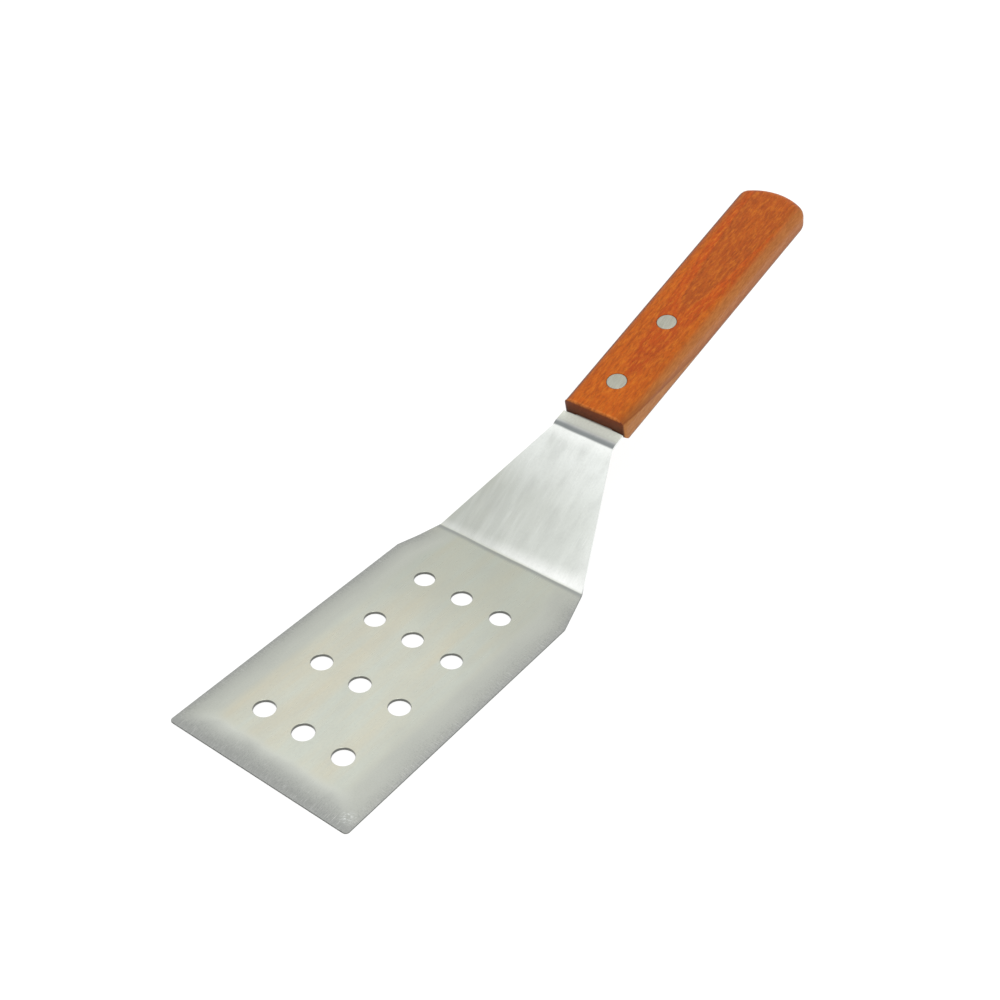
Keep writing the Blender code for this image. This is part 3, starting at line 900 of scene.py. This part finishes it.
def band_colour(n, from_edge, distance, across, length, marks, uneven):
    """Colour of the ground band, by its distance from the edge, with specks and cross marks."""
    by_left = n.fit(n.minus(length, n.plus(across, HALF_W)), *LEFT_MITRE)
    by_left = n.times(by_left, n.fit(across, *LEFT_FADE_X, 1.0, 0.0))
    toned = n.times(distance, n.fit(by_left, 0.0, 1.0, 1.0, LEFT_NARROWER))
    toned = n.plus(toned, n.times(by_left, LEFT_LIGHTER))
    toned = n.times(toned, n.fit(uneven, *UNEVEN_WINDOW, *BAND_WANDER))
    corner = n.times(n.fit(across, *CORNER_X), n.fit(length, *CORNER_S))
    by_right = n.fit(n.minus(length, n.minus(HALF_W, across)), *RIGHT_MITRE)
    by_right = n.times(by_right, n.fit(across, *RIGHT_FADE_X))
    lighter = n.fit(corner, 0.0, 1.0, *RIGHT_LIGHTER)
    toned = n.plus(toned, n.times(by_right, lighter))
    front = n.ramp(n.fit(toned, 0.0, GRIND_W), FRONT_BAND_AND_SHADE)
    side = n.ramp(n.fit(toned, 0.0, GRIND_W), SIDE_BAND_AND_SHADE)
    colour = n.mix(n.math("MAXIMUM", by_left, by_right), front, side)
    outer = n.fit(toned, *BAND_OUTER, 1.0, BAND_OUTER_REST)
    colour = n.tint(colour, n.field(from_edge, SPECKS), SPECK_TINT, where=outer)
    return n.tint(colour, marks, MARK_TINT, where=outer)


def corner_scuffs(n, colour, across, length):
    """A patch of bright scuffs near the right front corner."""
    from_centre = n.plus(n.math("POWER", n.minus(across, SCUFF_X), 2.0),
                         n.math("POWER", n.minus(length, SCUFF_LEN), 2.0))
    patch = n.fit(n.math("SQRT", from_centre), SCUFF_CORE, SCUFF_R, 1.0, 0.0, smooth=True)
    slanted = n.join(n.plus(across, length), n.minus(across, length), 0.0)
    scuffs = n.fit(n.field(slanted, SCUFFS), *SCUFF_WINDOW, 0.0, SCUFF_MIX)
    return n.mix(n.times(patch, scuffs), colour, SCUFF_COLOUR)


def dark_line(n, beyond, uneven, rise, fall, strength):
    """Strength of the dark line at a bend, by the distance beyond the place where it starts."""
    beyond = n.plus(beyond, n.fit(uneven, *UNEVEN_WINDOW, *LINE_WANDER))
    return n.times(n.fit(beyond, *rise), n.fit(beyond, *fall, strength, 0.0, smooth=True))


def steel_material():
    """Brushed stainless sheet with a coarser ground band along the blade's edges."""
    n = Nodes("brushed_stainless_steel")
    plan = n.attribute("plan")
    distance, along, on_blade = n.parts(n.attribute("edge"))
    across, length, on_cut = n.parts(plan)

    brushing = n.field(plan, BRUSHING)
    grain = n.field(plan, GRAIN)
    warm = n.fit(n.field(plan, STREAKS), *WARM_STREAKS)
    blade = blade_colour(n, across, length, warm)
    neck = neck_colour(n, plan, across, length, warm)
    flat = n.mix(n.fit(length, *NECK_START_S), blade, neck)
    flat = n.tint(flat, n.field(plan, CLOUDS), CLOUD_TINT)
    flat = n.tint(flat, grain, GRAIN_TINT)

    uneven = n.field(plan, UNEVEN)
    from_edge = n.join(distance, along, 0.0)
    marks = n.field(from_edge, MARKS)
    ground = band_colour(n, from_edge, distance, across, length, marks, uneven)
    band = n.times(n.fit(distance, *BAND_START, 0.0, 1.0, smooth=True), on_blade)
    band = n.times(band, n.fit(length, CREASE, GRIND_FADE, BAND_AT_CREASE, 1.0))
    colour = n.mix(band, flat, ground)
    colour = corner_scuffs(n, colour, across, length)

    fold_line = dark_line(n, n.minus(FOLD_LINE_AT, length), uneven,
                          FOLD_LINE_RISE, FOLD_LINE_FALL, FOLD_LINE_MIX)
    colour = n.mix(fold_line, colour, FOLD_LINE)
    on_tang = n.fit(length, *TANG_START_S)
    # painted light on the tang towards the handle
    tang = n.mix(n.fit(length, *TANG_TONE_S), TANG_LOWER, TANG_UPPER_PAINTED_LIGHT)
    tang = n.tint(tang, grain, TANG_GRAIN)
    colour = n.mix(on_tang, colour, tang)
    bend_line = dark_line(n, n.minus(length, BEND_LINE_AT), uneven,
                          BEND_LINE_RISE, BEND_LINE_FALL, BEND_LINE_MIX)
    colour = n.mix(bend_line, colour, BEND_LINE)
    colour = n.tint(colour, length, SEAT_SHADE, smooth=True)
    colour = n.tint(colour, brushing, BRUSHING_TINT)
    # painted shade on the blade's cut walls and a painted highlight on the neck's
    wall = n.mix(n.fit(length, *WALL_TONE_S), BLADE_WALL_SHADE, NECK_WALL_HIGHLIGHT)
    colour = n.mix(n.times(on_cut, WALL_MIX), colour, wall)

    rough = n.fit(brushing, *BRUSHING_ROUGH)
    rough = n.plus(rough, n.times(band, BAND_ROUGHER))
    rough = n.plus(rough, n.times(on_tang, TANG_ROUGHER))
    relief = n.bump(brushing, *BRUSHING_RELIEF)
    relief = n.bump(n.times(marks, band), *MARK_RELIEF, below=relief)
    return n.finish(colour, n.fit(on_tang, 0.0, 1.0, 1.0, TANG_METALLIC), rough, relief)


# ---- Wood: figure ----
PITH_SLOPE = 0.13           # how fast the pith nears the top along the handle
PITH_DEPTH = 0.0310
PITH_X = 0.0020
RING_OVAL = 2.2             # rings are this much narrower across than deep
RINGS_PER_METRE = 235.0
RING_DRIFT = Field((60.0, 14.0, 60.0), 2.0)
RING_DRIFT_BY = 0.0050
RING_WOBBLE = Field((420.0, 110.0, 420.0), 5.0, 0.65)
RING_WOBBLE_BY = 0.0022
RING_STOPS = ((0.0, (0.46, 0.082, 0.004)), (0.16, (0.53, 0.108, 0.005)), (0.42, (0.48, 0.090, 0.004)),
              (0.72, (0.43, 0.074, 0.004)), (0.90, (0.37, 0.058, 0.004)), (1.0, (0.46, 0.082, 0.004)))
ZONE_RINGS = (5.5, 9.5)     # ring counts over which the broad tone zones run
ZONE_STOPS = ((0.0, (0.42, 0.088, 0.007)), (0.37, (0.37, 0.078, 0.009)), (0.40, (0.33, 0.068, 0.010)),
              (0.60, (0.36, 0.080, 0.010)), (0.64, (0.47, 0.056, 0.004)), (0.85, (0.50, 0.070, 0.004)),
              (0.90, (0.55, 0.120, 0.007)), (1.0, (0.54, 0.118, 0.006)))
ZONE_MIX = 0.55
PATCHES = Field((70.0, 22.0, 40.0), 2.0)
PATCH_TINT = Tint((0.48, 0.74), 0.40, (0.34, 0.064, 0.008))
FIBRES = Field((1300.0, 240.0, 1300.0), 5.0, 0.75)
FIBRE_TINT = Tint((0.47, 0.70), 0.66, (0.18, 0.036, 0.005))
FLECKS = Field((850.0, 210.0, 850.0), 4.0, 0.7, (0.3, 0.1, 0.2))
FLECK_TINT = Tint((0.47, 0.68), 0.55, (0.68, 0.20, 0.014))
MOTTLE = Field((1500.0, 900.0, 1500.0), 4.0, 0.75, (0.6, 0.5, 0.1))
MOTTLE_TINT = Tint((0.42, 0.70), 0.32, (0.26, 0.058, 0.010))
PORES = Field((3200.0, 420.0, 3200.0), 2.0)
PORE_WINDOW = (0.66, 0.74)
PORE_MIX = 0.6
PORE_COLOUR = (0.10, 0.016, 0.006)
WOOD_ROUGH = (0.3, 0.8, 0.36, 0.52)
WOOD_SHINE = 0.12
MOTTLE_RELIEF = (0.00004, 0.45)     # depth and strength
PORE_RELIEF = (0.00005, -0.35)

# ---- Wood: sides and edges ----
SIDE_TAN = (0.46, 0.205, 0.062)
SIDE_FIBRES = Tint((0.40, 0.70), 0.6, (0.25, 0.090, 0.022))
SIDE_TAN_X = (0.0112, 0.0138)
SIDE_TAN_MIX = 0.70
STRIP_EDGE_Y = (HANDLE_START, 0.060)      # the tan strip's upper edge sinks along the handle
STRIP_EDGE_Z = (0.0053, -0.0028)
STRIP_EDGE_X = (0.008, 0.009)
STRIP_EDGE_OFF = -0.02                    # keeps the strip off the rest of the handle
STRIP_SOFT = 0.0004
STRIP_MIX = 0.75
EDGE_LINE_WIDTH = (0.00010, 0.00060)
EDGE_LINE_MIX = 0.60
EDGE_LINE_BREAKS = (0.30, 0.60, 0.3, 1.0)
EDGE_LINE_COLOUR = (0.15, 0.030, 0.008)
INNER_WIDTH = 0.0036                # of the darker band above the line
INNER_FADE = 0.0032
INNER_SOFT = 0.0003
INNER_MIX = 0.52
INNER_COLOUR = (0.20, 0.052, 0.008)
# Painted shade where the rounded edges turn away from the light
SHOULDER_SHADE = Tint((0.0085, 0.0125), 0.36, (0.26, 0.070, 0.012))
SHOULDER_BREAKS = (0.30, 0.60, 0.4, 1.0)
LEFT_RIM_SHADE = Tint((0.0108, 0.0124), 0.80, (0.085, 0.026, 0.007))
LOWER_RIM_SHADE = Tint((-0.0026, -0.0042), 0.75, (0.085, 0.032, 0.009))
LOWER_RIM_END = (-0.0064, -0.0052)
END_FACE_Y = (HANDLE_START + 0.0003, HANDLE_START + 0.0009)
END_FACE_MIX = 0.95
END_FACE_UPPER = (0.115, 0.022, 0.006)
# Painted shade darkening the front face towards the tang
END_FACE_TANG_SHADE = Tint((0.0058, 0.0010), 0.9, (0.010, 0.004, 0.002))
END_FACE_MOTTLE = Tint((0.35, 0.65), 0.4, (0.20, 0.052, 0.014))
# A painted glint along the front face's top edge
GLINT_Z = (0.0062, 0.0070)
GLINT_Y = (HANDLE_START + 0.0014, HANDLE_START + 0.0006)
GLINT_BREAKS = (0.35, 0.60, 0.15, 0.75)
GLINT_COLOUR = (0.66, 0.20, 0.036)


def ring_count(n, place, x, y, z):
    """Count of growth rings out from the pith, which lies below the handle and nears its far end."""
    depth = n.plus(n.times(y, -PITH_SLOPE), z)
    depth = n.plus(depth, PITH_DEPTH)
    across = n.times(n.minus(x, PITH_X), RING_OVAL)
    square = n.plus(n.times(depth, depth), n.times(across, across))
    radius = n.math("SQRT", square)
    radius = n.plus(radius, n.times(n.field(place, RING_DRIFT), RING_DRIFT_BY))
    radius = n.plus(radius, n.times(n.field(place, RING_WOBBLE), RING_WOBBLE_BY))
    return n.times(radius, RINGS_PER_METRE)


def side_strip(n, colour, x, y, z, fibres):
    """The tan right side, with a darker line and darker wood along its upper edge."""
    tan = n.tint(SIDE_TAN, fibres, SIDE_FIBRES)
    colour = n.mix(n.fit(x, *SIDE_TAN_X, 0.0, SIDE_TAN_MIX, smooth=True), colour, tan)
    upper_edge = n.fit(y, *STRIP_EDGE_Y, *STRIP_EDGE_Z)
    on_right = n.fit(x, *STRIP_EDGE_X, STRIP_EDGE_OFF, 0.0)
    beyond = n.plus(n.minus(upper_edge, z), on_right)
    strip = n.times(n.fit(beyond, 0.0, STRIP_SOFT), STRIP_MIX)
    colour = n.mix(strip, colour, tan)
    edge_line = n.fit(n.math("ABSOLUTE", beyond), *EDGE_LINE_WIDTH, EDGE_LINE_MIX, 0.0, smooth=True)
    edge_line = n.times(edge_line, n.fit(fibres, *EDGE_LINE_BREAKS))
    colour = n.mix(edge_line, colour, EDGE_LINE_COLOUR)
    inner = n.fit(n.plus(beyond, INNER_WIDTH), 0.0, INNER_FADE, 0.0, INNER_MIX, smooth=True)
    inner = n.times(inner, n.fit(beyond, 0.0, INNER_SOFT, 1.0, 0.0))
    return n.mix(inner, colour, INNER_COLOUR)


def painted_rim_shade(n, colour, x, y, z, fibres):
    """Darker wood on the rounded edges."""
    breaks = n.fit(fibres, *SHOULDER_BREAKS)
    colour = n.tint(colour, n.math("ABSOLUTE", x), SHOULDER_SHADE, smooth=True, where=breaks)
    outward = n.minus(n.times(x, -1.0), n.times(y, SIDE_TAPER))
    colour = n.tint(colour, outward, LEFT_RIM_SHADE, smooth=True)
    return n.tint(colour, z, LOWER_RIM_SHADE, where=n.fit(z, *LOWER_RIM_END))


def front_face(n, colour, y, z, mottle, flecks):
    """The dark end grain of the front face, and the worn line along its top edge."""
    face = n.tint(END_FACE_UPPER, z, END_FACE_TANG_SHADE)
    face = n.tint(face, mottle, END_FACE_MOTTLE)
    colour = n.mix(n.fit(y, *END_FACE_Y, END_FACE_MIX, 0.0, smooth=True), colour, face)
    # painted glint on the top front edge
    glint = n.times(n.fit(z, *GLINT_Z), n.fit(y, *GLINT_Y))
    glint = n.times(glint, n.fit(flecks, *GLINT_BREAKS))
    return n.mix(glint, colour, GLINT_COLOUR)


def wood_material():
    """Varnished red-orange hardwood, cut so that long arcs show on the broad faces."""
    n = Nodes("varnished_hardwood")
    place = n.attribute("grain")
    x, y, z = n.parts(place)

    count = ring_count(n, place, x, y, z)
    rings = n.ramp(n.math("FRACT", count), RING_STOPS)
    colour = n.mix(ZONE_MIX, rings, n.ramp(n.fit(count, *ZONE_RINGS), ZONE_STOPS))
    colour = n.tint(colour, n.field(place, PATCHES), PATCH_TINT)
    fibres = n.field(place, FIBRES)
    colour = n.tint(colour, fibres, FIBRE_TINT)
    flecks = n.field(place, FLECKS)
    colour = n.tint(colour, flecks, FLECK_TINT)
    mottle = n.field(place, MOTTLE)
    colour = n.tint(colour, mottle, MOTTLE_TINT)
    pore = n.fit(n.field(place, PORES), *PORE_WINDOW)
    colour = n.mix(n.times(pore, PORE_MIX), colour, PORE_COLOUR)
    colour = side_strip(n, colour, x, y, z, fibres)
    colour = painted_rim_shade(n, colour, x, y, z, fibres)
    colour = front_face(n, colour, y, z, mottle, flecks)

    n.shader.inputs["Specular IOR Level"].default_value = WOOD_SHINE
    relief = n.bump(mottle, *MOTTLE_RELIEF)
    relief = n.bump(pore, *PORE_RELIEF, below=relief)
    return n.finish(colour, 0.0, n.fit(fibres, *WOOD_ROUGH), relief)


# ---- Rivet metal ----
SANDING = Field((3800.0, 260.0, 900.0), 3.0, 0.6)
SANDING_WINDOW = (0.35, 0.7)
RIVET_LIGHT = (0.455, 0.455, 0.390)
RIVET_DARK = (0.36, 0.36, 0.305)
RIVET_SPOTS = Field((1400.0, 1400.0, 1400.0))
RIVET_SPOT_TINT = Tint((0.55, 0.75), 0.35, (0.28, 0.27, 0.23))
RIVET_ROUGH = (0.3, 0.7, 0.34, 0.48)
SANDING_RELIEF = (0.00002, 0.4)


def rivet_material():
    """Dull aluminium, sanded flush with the wood."""
    n = Nodes("sanded_aluminium")
    place = n.attribute("grain")
    sanding = n.field(place, SANDING)
    colour = n.mix(n.fit(sanding, *SANDING_WINDOW), RIVET_LIGHT, RIVET_DARK)
    colour = n.tint(colour, n.field(place, RIVET_SPOTS), RIVET_SPOT_TINT)
    rough = n.fit(sanding, *RIVET_ROUGH)
    return n.finish(colour, 1.0, rough, n.bump(sanding, *SANDING_RELIEF))


# ---- Pieces ----
def make_blade(material):
    """The blade sheet, in place of the faceted one."""
    obj = object_from("blade_sheet", build_sheet())
    shade(obj, BLADE_SHARP)
    finish_piece(obj, material, "blade")


def make_handle(material):
    """The handle, with a mortise for the tang, a bevel below it and bores for the rivets."""
    obj = object_from("handle_grip", handle_solid())
    cut(obj, (mortise_solid(), under_bevel_solid(), bore_solid()))
    keep_local_place(obj, "grain")
    obj.data.transform(tang_matrix())
    shade(obj, HANDLE_SHARP)
    weighted = obj.modifiers.new("weighted_normals", "WEIGHTED_NORMAL")
    weighted.keep_sharp = True
    finish_piece(obj, material, "handle")


def head_profile(sign):
    """A rivet head's outside from its seat to its face, slightly domed and rounded at the rim."""
    points = [(HEAD_R, sign * (HANDLE_HALF_T - HEAD_T))]
    for i in range(HEAD_EDGE_STEPS + 1):
        angle = math.radians(90.0 * i / HEAD_EDGE_STEPS)
        points.append((HEAD_R - HEAD_EDGE_R * (1.0 - math.cos(angle)),
                       sign * (HANDLE_HALF_T - CROWN - HEAD_EDGE_R * (1.0 - math.sin(angle)))))
    for part in HEAD_FACE_PARTS:
        points.append((part * (HEAD_R - HEAD_EDGE_R), sign * (HANDLE_HALF_T - CROWN * part * part)))
    return points


def make_rivet(prefix, y, material):
    """One two-piece rivet: a post from above, its tip in a sleeve from below."""
    seat = HANDLE_HALF_T - HEAD_T
    post = bmesh.new()
    turned(post, y, [(POST_R, -seat + 2.0 * RIVET_GAP), (POST_R, seat)] + head_profile(1.0))
    inner_r = POST_R + RIVET_GAP
    sleeve = bmesh.new()
    turned(sleeve, y, list(reversed(head_profile(-1.0))) + [
        (SLEEVE_R, -seat), (SLEEVE_R, seat - RIVET_GAP), (inner_r, seat - RIVET_GAP),
        (inner_r, -seat + RIVET_GAP)])
    for part, bm in (("post", post), ("sleeve", sleeve)):
        obj = object_from("%s_%s_turned" % (prefix, part), bm)
        keep_local_place(obj, "grain")
        obj.data.transform(tang_matrix())
        shade(obj, RIVET_SHARP)
        finish_piece(obj, material, "%s_%s" % (prefix, part))


# ---- Studio ----
def make_camera():
    """The viewing camera."""
    data = bpy.data.cameras.new("camera")
    data.lens = CAMERA_LENS_MM
    data.sensor_width = SENSOR_MM
    data.clip_start = CAMERA_NEAR
    obj = linked("camera", data)
    forward = Vector((-math.sin(CAMERA_AZIMUTH) * math.cos(CAMERA_ELEVATION),
                      math.cos(CAMERA_AZIMUTH) * math.cos(CAMERA_ELEVATION),
                      -math.sin(CAMERA_ELEVATION)))
    level = forward.cross(Vector((0.0, 0.0, 1.0))).normalized()
    upward = level.cross(forward)
    right = math.cos(CAMERA_ROLL) * level + math.sin(CAMERA_ROLL) * upward
    up = right.cross(forward)
    turn = Matrix((right, up, -forward)).transposed().to_4x4()
    obj.matrix_world = Matrix.Translation(CAMERA_PLACE) @ turn
    bpy.context.scene.camera = obj


def make_floor():
    """A plain pale floor under the blade."""
    bm = bmesh.new()
    bmesh.ops.create_grid(bm, x_segments=2, y_segments=2, size=FLOOR_SIZE)
    floor = object_from("floor", bm)
    floor.location.z = -FLOOR_SINK
    n = Nodes("pale_floor")
    n.shader.inputs["Base Color"].default_value = FLOOR_COLOUR
    n.shader.inputs["Emission Color"].default_value = WHITE
    n.shader.inputs["Emission Strength"].default_value = FLOOR_GLOW
    n.shader.inputs["Roughness"].default_value = FLOOR_ROUGH
    n.shader.inputs["Specular IOR Level"].default_value = FLOOR_SHINE
    floor.data.materials.append(n.material)


def area_light(name, place, target, size, power):
    """A soft square light aimed at a point."""
    data = bpy.data.lights.new(name, "AREA")
    data.shape = "SQUARE"
    data.size = size
    data.energy = power
    obj = linked(name, data)
    obj.location = place
    obj.rotation_euler = (Vector(target) - Vector(place)).to_track_quat("-Z", "Y").to_euler()


def make_studio():
    """Soft even light, brightest from above and in front."""
    world = bpy.data.worlds.new("studio")
    world.use_nodes = True
    background = world.node_tree.nodes["Background"]
    background.inputs["Color"].default_value = WHITE
    tree = world.node_tree
    direction = tree.nodes.new("ShaderNodeTexCoord").outputs["Generated"]
    height = tree.nodes.new("ShaderNodeSeparateXYZ")
    tree.links.new(direction, height.inputs[0])
    walls_to_ceiling = tree.nodes.new("ShaderNodeMapRange")
    walls_to_ceiling.interpolation_type = "SMOOTHSTEP"
    for socket, value in zip(walls_to_ceiling.inputs[1:], (*CEILING_RISE, WALL_LIGHT, CEILING_LIGHT)):
        socket.default_value = value
    tree.links.new(height.outputs[2], walls_to_ceiling.inputs[0])
    tree.links.new(walls_to_ceiling.outputs[0], background.inputs["Strength"])
    bpy.context.scene.world = world
    bpy.context.scene.view_settings.view_transform = "Standard"
    area_light("key", KEY_PLACE, KEY_TARGET, KEY_SIZE, KEY_POWER)


make_camera()
steel = steel_material()
wood = wood_material()
rivet_metal = rivet_material()
make_blade(steel)
make_handle(wood)
make_rivet("rivet_front", RIVET_Y[0], rivet_metal)
make_rivet("rivet_rear", RIVET_Y[1], rivet_metal)
make_floor()
make_studio()
